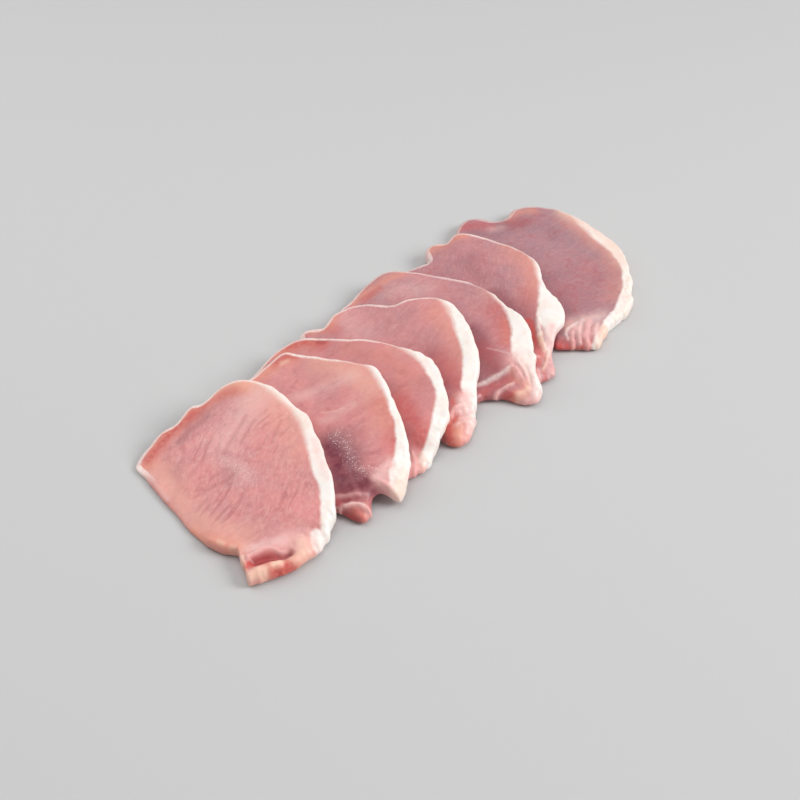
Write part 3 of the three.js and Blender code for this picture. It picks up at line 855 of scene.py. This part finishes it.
def outer_ring(rings):
    """Indices of the outermost ring's points, anticlockwise from its lower right corner."""
    side = 2 * rings + 1
    up = np.arange(2 * rings)
    right = 2 * rings * side + up
    top = (2 * rings - up) * side + 2 * rings
    left = 2 * rings - up
    bottom = up * side
    return np.concatenate([right, top, left, bottom])


ELLIPSE = 2.0  # squareness of a rim that is half an ellipse
LEAN_RIM = 2.6  # the same where the lean meat reaches the edge
FIRM_RIM = 3.2  # and where the edge is firm fat
FIRM = (0.0, 4.0)  # mm inside the fat's edge over which the rim gets firm
LIMP_RIM = 2.2  # mm that the rim of the limp tail is wider
MOST_DRAW = 0.6  # mm that relief draws the rim in by at most; it also pushes it out
EDGE_WAVES = (0.3, 4, 100)
CRUMBLE = (0.35, 3, 130)  # of the fat's edge, besides


def slice_surface(piece, thickness, rings):
    """A slice as one closed surface. Its two faces are square rings drawn out to the outline,
    and between them its rim is a squarish half-ellipse: out by cos and up by sin of an angle,
    each to the power of 2 over the squareness, which is 2 for an ellipse."""
    share, bearing = ring_grid(rings)
    share, bearing = share.ravel() ** CROWDING, bearing.ravel()

    def edge(bearing):
        """Reach of the uneven edge, how firm it is there and how limp, 0 to 1."""
        reach = piece.reach(bearing)
        x, y = reach * np.cos(bearing) + MIDDLE[0], reach * np.sin(bearing) + MIDDLE[1]
        firm = ramp(piece.fat(x, y), *FIRM)
        uneven = waves(x, y, piece.seed, EDGE_WAVES) + firm * waves(x, y, piece.seed, CRUMBLE)
        return reach + uneven, firm, ramp(y, *LIMP) * (1 - firm)

    def place(bearing, share, out):
        """Plan of a point: share of the way to where the rim starts, and then out."""
        reach, _, limp = edge(bearing)
        rim = RIM + LIMP_RIM * limp
        reach = share * (reach - rim) + out * rim
        return MIDDLE[0] + reach * np.cos(bearing), MIDDLE[1] + reach * np.sin(bearing)

    ring = outer_ring(rings)
    _, firm, limp = edge(bearing[ring])
    power = ELLIPSE / (blend(firm, LEAN_RIM, FIRM_RIM) - (LEAN_RIM - ELLIPSE) * limp)
    angle = np.pi / 2 - np.pi * np.arange(1, RIM_LOOPS + 1)[:, None] / (RIM_LOOPS + 1)
    out = np.cos(angle) ** power
    rise = np.sign(np.sin(angle)) * abs(np.sin(angle)) ** power
    face_x, face_y = place(bearing, share, 0)
    rim_x, rim_y = place(bearing[ring][None, :], 1, out)
    x = np.concatenate([face_x, face_x, rim_x.ravel()])
    y = np.concatenate([face_y, face_y, rim_y.ravel()])
    up = np.concatenate([np.ones_like(face_x), -np.ones_like(face_x), rise.ravel()])
    found, (along, across), lift, thin = fields(piece, x, y, up)
    under = reading(piece.under, FIELD_START, CELL, x + piece.at, y)
    z = under + (thickness + thin) / 2 * (1 + up) + lift * np.clip(up, 0, 1)
    found["fibre"] = np.stack([along / FIBRE_LENGTH, across / FIBRE_PITCH, z / FIBRE_PITCH], -1)
    level = np.concatenate([np.zeros(2 * face_x.size), np.repeat(np.cos(angle), len(ring))])
    heading = np.concatenate([bearing, bearing, np.tile(bearing[ring], RIM_LOOPS)])
    push = np.clip(lift, -MOST_DRAW, None) * level
    x, y = x + push * np.cos(heading), y + push * np.sin(heading)
    points = np.stack([x + piece.at, y - CENTRE_Y, np.maximum(z, 0)], -1)
    return points, slice_faces(rings), found


def grid_quads(index):
    """Quads of a grid of points, from their indices."""
    corners = [index[:-1, :-1], index[1:, :-1], index[1:, 1:], index[:-1, 1:]]
    return np.stack(corners, -1).reshape(-1, 4)


def slice_faces(rings):
    """Quads of the top face, of the bottom face turned over, and of the rim between them."""
    side = 2 * rings + 1
    top = grid_quads(np.arange(side * side).reshape(side, side))
    bottom = top[:, ::-1] + side * side
    ring = outer_ring(rings)
    loops = 2 * side * side + np.arange(RIM_LOOPS * len(ring)).reshape(RIM_LOOPS, -1)
    loops = np.vstack([ring, loops, ring + side * side])
    after = np.roll(loops, -1, 1)
    rim = np.stack([loops[:-1], loops[1:], after[1:], after[:-1]], -1).reshape(-1, 4)
    return np.vstack([top, bottom, rim])


def make_mesh(name, points, quads, found, material):
    """A smooth mesh object from points in mm and quads, with an attribute for each field."""
    mesh = bpy.data.meshes.new(name)
    mesh.vertices.add(len(points))
    mesh.vertices.foreach_set("co", (points * MM).astype(np.float32).ravel())
    mesh.loops.add(quads.size)
    mesh.loops.foreach_set("vertex_index", quads.astype(np.int32).ravel())
    mesh.polygons.add(len(quads))
    mesh.polygons.foreach_set("loop_start", np.arange(0, quads.size, 4, dtype=np.int32))
    mesh.polygons.foreach_set("use_smooth", np.ones(len(quads), bool))
    mesh.update(calc_edges=True)
    for label, values in found.items():
        kind, slot = ("FLOAT_VECTOR", "vector") if values.ndim > 1 else ("FLOAT", "value")
        layer = mesh.attributes.new(label, kind, "POINT")
        layer.data.foreach_set(slot, values.astype(np.float32).ravel())
    mesh.materials.append(material)
    piece = bpy.data.objects.new(name, mesh)
    bpy.context.scene.collection.objects.link(piece)
    return piece


# Materials

# Grains of the raw meat, as (what they follow, size in mm, detail, roughness)
GRAINS = {
    "clouds": ("place", 15, 3, 0.55),
    "creaminess": ("place", 7, 3, 0.5),
    "blotches": ("place", 4.5, 3, 0.5),
    "broad patches": ("place", 4, 3, 0.5),
    "dulling": ("place", 3.5, 2, 0.5),
    "patches": ("place", 3, 3, 0.5),
    "small patches": ("place", 2.5, 3, 0.5),
    "flecks": ("place", 2.2, 3, 0.6),
    "spots": ("place", 2, 3, 0.5),
    "small spots": ("place", 1.5, 3, 0.5),
    "crumbs": ("place", 1.2, 3, 0.5),
    "wet grain": ("place", 0.45, 2, 0.6),
    "bundles": ("fibre", 1, 2, 0.55),
    "thin bundles": ("fibre", 1 / 1.3, 3, 0.55),
}

# Washes of colour, the lowest first, as (colour, the field that it follows, its most) and, where
# a grain breaks it up, (grain, grain's values where it is least and most, its least)
LEAN_WASHES = (
    ("mauve", "greyness", 1),
    ("milky", "strand", 0.4, "bundles", 0.48, 0.72, 0),
    ("shadow", "strand", 0.38, "thin bundles", 0.5, 0.75, 0),
    ("shadow", "everywhere", 0.35, "blotches", 0.48, 0.75, 0),
    ("milky", "strand", 0.34, "flecks", 0.48, 0.7, 0),
    ("salmon", "peach", 1, "patches", 0.3, 0.62, 0.75),
    ("pale", "pale", 1, "small patches", 0.3, 0.62, 0.7),
    ("warm", "warm", 1, "small patches", 0.3, 0.62, 0.7),
    ("maroon", "deep", 1, "broad patches", 0.3, 0.62, 0.85),
    ("blood", "red", 1, "spots", 0.3, 0.62, 0.6),
    # Painted shade in the grooves where the fibres part, over the face's real sinking there
    ("shadow", "groove", 0.5),
    ("wall", "wall", 0.65),
)
FAT_WASHES = (
    ("cream", "everywhere", 0.55, "creaminess", 0.42, 0.7, 0),
    # Partly the fat's own colour, partly painted shade: its cut side a little darker and pinker
    # than its top
    ("pale", "wall", 0.15),
)
TOP_WASHES = (
    ("fold", "fold", 1, "spots", 0.3, 0.62, 0.75),
    ("soft_fat", "cream", 1, "spots", 0.3, 0.62, 0.8),
    ("film", "film", 1, "small spots", 0.3, 0.62, 0.7),
    # The last two washes are painted highlights: a sheen and glint dots that stand in for light
    # caught by the moist surface
    ("glint", "sheen", 0.1),
    ("glint", "painted_glints", 1, "from a glint dot", 0.45, 0.1, 0),
)
DRIFT = (0.35, 0.68, 0, 0.25)  # two values of the clouds, and the greyness that they add
MAUVE_SHARE = 0.85  # of a slice's own greyness
CRUMB_SIZE = 0.9  # mm that crumbs move the fat's edge
FAT_RAMP = (-1.0, 0.8)  # where fat begins and is full, counted in the softness of its edge
SHEEN_POWER = 3.0  # of the glint mask, so that the painted sheen covers only the places where it is highest
GLINT_DOT_SPACING = 0.75
GLINT_DOT_RAMP = (0.9, 1.95)  # sums of chance and of the glint mask at which a painted glint dot is missing and is full
DULLING = (0.3, 0.7, 0.32, 0.5)  # two values of its grain, and the roughness there
BUMPS = (("bundles", 0.4, 0.3), ("wet grain", 0.3, 0.12))  # (grain, strength, height in mm)


def linear(code):
    """An sRGB hex colour as linear red, green and blue."""
    srgb = np.array([int(code[k : k + 2], 16) for k in (1, 3, 5)]) / 255
    return tuple(np.where(srgb <= 0.04045, srgb / 12.92, ((srgb + 0.055) / 1.055) ** 2.4))


def add(tree, kind, inputs=None, **settings):
    """Adds a node with its settings. Each input is a value, or the output it is linked to."""
    node = tree.nodes.new(kind)
    for name, value in settings.items():
        setattr(node, name, value)
    for name, value in (inputs or {}).items():
        if isinstance(value, bpy.types.NodeSocket):
            tree.links.new(value, node.inputs[name])
        else:
            node.inputs[name].default_value = value
    return node


def wash(tree, under, washes, look, follow, grains):
    """Lays washes of colour over a colour, one after the other. The share of each is a smooth
    ramp of its grain, or its most where it has none, times the field that it follows."""
    for colour, field, most, *broken in washes:
        share = most
        if broken:
            grain, low, high, least = broken
            inputs = {"Value": grains[grain], 1: low, 2: high, 3: least, 4: most}
            share = add(tree, "ShaderNodeMapRange", inputs, interpolation_type="SMOOTHSTEP")
            share = share.outputs["Result"]
        inputs = {0: share, 1: follow[field]}
        share = add(tree, "ShaderNodeMath", inputs, operation="MULTIPLY").outputs["Value"]
        inputs = {0: share, 6: under, 7: (*getattr(look, colour), 1.0)}
        under = add(tree, "ShaderNodeMix", inputs, data_type="RGBA").outputs[2]
    return under


def raw_pork(look):
    """Raw pork loin, cut across its fibres with a knife and moist: lean meat that lets some light
    in, with a fine grain and a wet gloss, and firm white back fat that is duller. Its colour also
    holds painted shade in grooves, hollows and beside the covering slice, and painted highlights
    where the surface is moist."""
    material = bpy.data.materials.new("raw_pork")
    material.use_nodes = True
    tree = material.node_tree
    tree.nodes.clear()
    place = add(tree, "ShaderNodeTexCoord").outputs["Object"]
    fibre = add(tree, "ShaderNodeAttribute", attribute_name="fibre").outputs["Vector"]
    along = {"place": (place, 1 / MM), "fibre": (fibre, FIBRE_PITCH)}
    grains = {}
    for name, (way, size, detail, roughness) in GRAINS.items():
        vector, per_mm = along[way]
        inputs = {
            "Vector": vector,
            "Scale": per_mm / size,
            "Detail": detail,
            "Roughness": roughness,
        }
        grains[name] = add(tree, "ShaderNodeTexNoise", inputs).outputs["Fac"]
    follow = {"everywhere": 1.0}
    for name in (*LABELS, "fat", "soft", "wall", "mauve", "strand"):
        follow[name] = add(tree, "ShaderNodeAttribute", attribute_name=name).outputs["Fac"]

    # Lean that drifts from pink to mauve in soft clouds
    low, high, least, most = DRIFT
    drift = add(
        tree,
        "ShaderNodeMapRange",
        {"Value": grains["clouds"], 1: low, 2: high, 3: least, 4: most},
        interpolation_type="SMOOTHSTEP",
    )
    follow["greyness"] = add(
        tree,
        "ShaderNodeMath",
        {0: follow["mauve"], 1: MAUVE_SHARE, 2: drift.outputs["Result"]},
        operation="MULTIPLY_ADD",
        use_clamp=True,
    ).outputs["Value"]
    lean = wash(tree, (*look.lean, 1.0), LEAN_WASHES, look, follow, grains)

    # Fat with a crumbled edge over it
    fat = wash(tree, (*look.fat, 1.0), FAT_WASHES, look, follow, grains)
    crumbs = add(tree, "ShaderNodeMath", {0: grains["crumbs"], 1: 0.5}, operation="SUBTRACT")
    inside = add(
        tree,
        "ShaderNodeMath",
        {0: crumbs.outputs["Value"], 1: CRUMB_SIZE, 2: follow["fat"]},
        operation="MULTIPLY_ADD",
    )
    inside = add(
        tree,
        "ShaderNodeMath",
        {0: inside.outputs["Value"], 1: follow["soft"]},
        operation="DIVIDE",
    )
    share = add(
        tree,
        "ShaderNodeMapRange",
        {"Value": inside.outputs["Value"], 1: FAT_RAMP[0], 2: FAT_RAMP[1]},
        interpolation_type="SMOOTHSTEP",
    )
    inputs = {0: share.outputs["Result"], 6: lean, 7: fat}
    meat = add(tree, "ShaderNodeMix", inputs, data_type="RGBA").outputs[2]

    # Painted highlights of the moist surface: a painted sheen, and painted glints as pale dots that
    # are drawn twice as large as real glints so that they show
    follow["sheen"] = add(
        tree, "ShaderNodeMath", {0: follow["wet"], 1: SHEEN_POWER}, operation="POWER"
    ).outputs["Value"]
    inputs = {"Vector": place, "Scale": 1 / (GLINT_DOT_SPACING * MM)}
    painted_glints = add(tree, "ShaderNodeTexVoronoi", inputs)
    grains["from a glint dot"] = painted_glints.outputs["Distance"]
    chance = add(tree, "ShaderNodeSeparateColor", {"Color": painted_glints.outputs["Color"]})
    chance = add(
        tree,
        "ShaderNodeMath",
        {0: chance.outputs["Red"], 1: follow["wet"]},
        operation="ADD",
    )
    follow["painted_glints"] = add(
        tree,
        "ShaderNodeMapRange",
        {"Value": chance.outputs["Value"], 1: GLINT_DOT_RAMP[0], 2: GLINT_DOT_RAMP[1]},
        interpolation_type="SMOOTHSTEP",
    ).outputs["Result"]
    meat = wash(tree, meat, TOP_WASHES, look, follow, grains)

    # Bump of the fibre bundles and of the fine wet grain that sparkles
    normal = {}
    for grain, strength, height in BUMPS:
        inputs = {"Strength": strength, "Distance": height * MM, "Height": grains[grain]}
        bump = add(tree, "ShaderNodeBump", {**inputs, **normal})
        normal = {"Normal": bump.outputs["Normal"]}
    low, high, least, most = DULLING
    gloss = add(
        tree,
        "ShaderNodeMapRange",
        {"Value": grains["dulling"], 1: low, 2: high, 3: least, 4: most},
        interpolation_type="SMOOTHSTEP",
    )
    shader = add(
        tree,
        "ShaderNodeBsdfPrincipled",
        {
            "Base Color": meat,
            "Roughness": gloss.outputs["Result"],
            "IOR": 1.38,
            "Subsurface Weight": 0.25,
            "Subsurface Radius": (1.0, 0.35, 0.25),
            "Subsurface Scale": 2.0 * MM,
            "Coat Weight": 0.25,
            "Coat Roughness": 0.2,
            "Coat IOR": 1.36,
            **normal,
        },
    )
    add(tree, "ShaderNodeOutputMaterial", {"Surface": shader.outputs["BSDF"]})
    return material


def studio_paper(look):
    """Matt light grey paper, rolled out past the edges of the picture: an even surface with no
    pattern."""
    material = bpy.data.materials.new("studio_paper")
    material.use_nodes = True
    shader = material.node_tree.nodes["Principled BSDF"]
    shader.inputs["Base Color"].default_value = (*look.paper, 1.0)
    shader.inputs["Roughness"].default_value = 0.9
    return material


# The user's sizes and colours


def length(name, description, millimetres):
    """A length that a user can change, given in mm."""
    return bpy.props.FloatProperty(
        name=name, description=description, default=millimetres * MM, min=0.0, unit="LENGTH"
    )


def hue(name, description, code):
    """A colour that a user can change, given as sRGB hex."""
    return bpy.props.FloatVectorProperty(
        name=name, description=description, default=linear(code), subtype="COLOR", min=0, max=1
    )


class PorkLoinSizes(bpy.types.PropertyGroup):
    thickness: length("Thickness", "How thick each slice is cut", 6.5)
    gap: length("Gap", "Room between a slice and what it lies on", 0.6)
    rings: bpy.props.IntProperty(
        name="Rings", description="Fineness of each slice's faces", default=96, min=8, max=104
    )


class PorkLoinLook(bpy.types.PropertyGroup):
    lean: hue("Lean", "Fresh pink of the cut muscle", "#E29290")
    mauve: hue("Mauve", "Greyer pink in the middle of the muscle", "#A98189")
    milky: hue("Milky", "Pale flecks between the fibre bundles", "#EFBDB4")
    # Partly the meat's own darker bundles and blotches, partly painted shade in the grooves where
    # the fibres part
    shadow: hue("Shadow", "Darker bundles and the lines where they part", "#B05A60")
    salmon: hue("Salmon", "Warm pink along the fat's edge", "#ECAC9C")
    # Partly thin fat with the lean showing through, partly painted soft highlight on the lean, and
    # a slight painted shade on the fat's cut side
    pale: hue("Pale", "Thin fat with the lean showing through", "#F0CCC6")
    # Partly dark lean where air doesn't reach it, partly painted shade beside the slice that covers
    # it and in hollows of the tail
    maroon: hue("Maroon", "Dark lean where the air doesn't reach it", "#722A3C")
    # Partly red muscle, partly painted shade where it is laid in hollows of the tail
    blood: hue("Blood", "Red muscle and moist folds", "#C9504A")
    # Partly the pink of the folds, partly painted highlight on their crests, and on the fat's side
    # face partly painted shade
    fold: hue("Folds", "Pink crests of the folded tail", "#F4BDB8")
    soft_fat: hue("Soft fat", "Creamy fat of the tail", "#F8D0BA")
    warm: hue("Warm fat", "Soft fat and meat of the tail", "#E99A84")
    wall: hue("Cut side", "The meat's edge under its thin skin", "#D98672")
    fat: hue("Fat", "White back fat", "#FBF3ED")
    cream: hue("Cream", "Creamier parts of the fat", "#F5DFD5")
    # Partly pale skin and membranes, partly painted highlight along the top edges and on the crests
    # of the tail's folds
    film: hue("Membrane", "Pale skin between the muscles", "#FCEAE3")
    # Painted highlight: the colour of the painted sheen and glint dots
    glint: hue("Glint", "Drops of moisture", "#FFE4E2")
    paper: hue("Floor", "The studio's paper floor", "#C8C8C8")


class PORKLOIN_OT_slices(bpy.types.Operator):
    """Lays the seven slices and shapes each one's lean, fat side and tail"""

    bl_idname = "pork_loin.slices"
    bl_label = "Slices"

    def execute(self, context):
        sizes, look = context.scene.pork_loin_sizes, context.scene.pork_loin_look
        material = raw_pork(look)
        for piece in lay_row(sizes.thickness / MM, sizes.gap / MM):
            points, quads, found = slice_surface(piece, sizes.thickness / MM, sizes.rings)
            made = make_mesh(f"pork_{piece.name}", points, quads, found, material)
            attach(made, "root")
            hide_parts(piece.name)
        return {"FINISHED"}


# The studio, in metres: the camera, the paper floor, and lamps as (place, size, watts)

CAMERA_PLACE = (-0.3299, -0.3182, 0.4234)
CAMERA_HEADING = 44.80  # degrees from +Y towards +X
CAMERA_PITCH = 44.12  # degrees below the horizon
CAMERA_ROLL = -2.30
CAMERA_LENS = 56.4  # mm on a 36 mm sensor
LAMPS = {
    "window": ((-0.35, 0.85, 0.75), 0.8, 3.6),
    "key": ((1.05, -1.5, 1.24), 1.0, 32.5),
    "overhead": ((0.0, 0.05, 1.1), 0.9, 3.2),
}
SKY = 0.38
HALF_FLOOR = 3.0


def look_along(heading, pitch, roll):
    """Rotation whose columns are the camera's right, up and back."""
    h, p, r = np.radians((heading, pitch, roll))
    ahead = Vector((np.sin(h) * np.cos(p), np.cos(h) * np.cos(p), -np.sin(p)))
    right = Vector((np.cos(h), -np.sin(h), 0))
    up = right.cross(ahead)
    right, up = np.cos(r) * right + np.sin(r) * up, np.cos(r) * up - np.sin(r) * right
    return Matrix((right, up, -ahead)).transposed()


class PORKLOIN_OT_stage(bpy.types.Operator):
    """Sets up the camera, the lamps and the paper floor"""

    bl_idname = "pork_loin.stage"
    bl_label = "Stage"

    def execute(self, context):
        scene = context.scene
        camera = bpy.data.objects.new("camera", bpy.data.cameras.new("camera"))
        camera.data.lens = CAMERA_LENS
        turn = look_along(CAMERA_HEADING, CAMERA_PITCH, CAMERA_ROLL).to_4x4()
        camera.matrix_world = Matrix.Translation(CAMERA_PLACE) @ turn
        scene.collection.objects.link(camera)
        scene.camera = camera
        for name, (place, size, watts) in LAMPS.items():
            lamp = bpy.data.lights.new(name, "AREA")
            lamp.size = size
            lamp.energy = watts
            holder = bpy.data.objects.new(name, lamp)
            holder.location = place
            holder.rotation_euler = (-Vector(place)).to_track_quat("-Z", "Y").to_euler()
            scene.collection.objects.link(holder)
        world = bpy.data.worlds.new("studio")
        world.use_nodes = True
        sky = world.node_tree.nodes["Background"]
        sky.inputs["Color"].default_value = (1.0, 1.0, 1.0, 1.0)
        sky.inputs["Strength"].default_value = SKY
        scene.world = world
        scene.view_settings.view_transform = "Standard"
        corners = np.array([(-1, -1, 0), (1, -1, 0), (1, 1, 0), (-1, 1, 0)]) * HALF_FLOOR / MM
        paper = studio_paper(scene.pork_loin_look)
        floor = make_mesh("floor", corners, np.array([[0, 1, 2, 3]]), {}, paper)
        return {"FINISHED"}


class PORKLOIN_PT_panel(bpy.types.Panel):
    """Lists the sizes, the colours and the steps in order"""

    bl_idname = "PORKLOIN_PT_panel"
    bl_label = "Pork loin"
    bl_space_type = "VIEW_3D"
    bl_region_type = "UI"
    bl_category = "Pork loin"

    def draw(self, context):
        for group in (context.scene.pork_loin_sizes, context.scene.pork_loin_look):
            for name in group.bl_rna.properties.keys():
                if name not in ("rna_type", "name"):
                    self.layout.prop(group, name)
        for operator in OPERATORS:
            self.layout.operator(operator.bl_idname)


OPERATORS = (PORKLOIN_OT_slices, PORKLOIN_OT_stage)
CLASSES = (PorkLoinSizes, PorkLoinLook, *OPERATORS, PORKLOIN_PT_panel)


def register():
    for item in CLASSES:
        bpy.utils.register_class(item)
    bpy.types.Scene.pork_loin_sizes = bpy.props.PointerProperty(type=PorkLoinSizes)
    bpy.types.Scene.pork_loin_look = bpy.props.PointerProperty(type=PorkLoinLook)


def unregister():
    del bpy.types.Scene.pork_loin_look
    del bpy.types.Scene.pork_loin_sizes
    for item in reversed(CLASSES):
        bpy.utils.unregister_class(item)


def main():
    register()
    bpy.ops.pork_loin.slices()
    bpy.ops.pork_loin.stage()


if __name__ == "__main__":
    main()
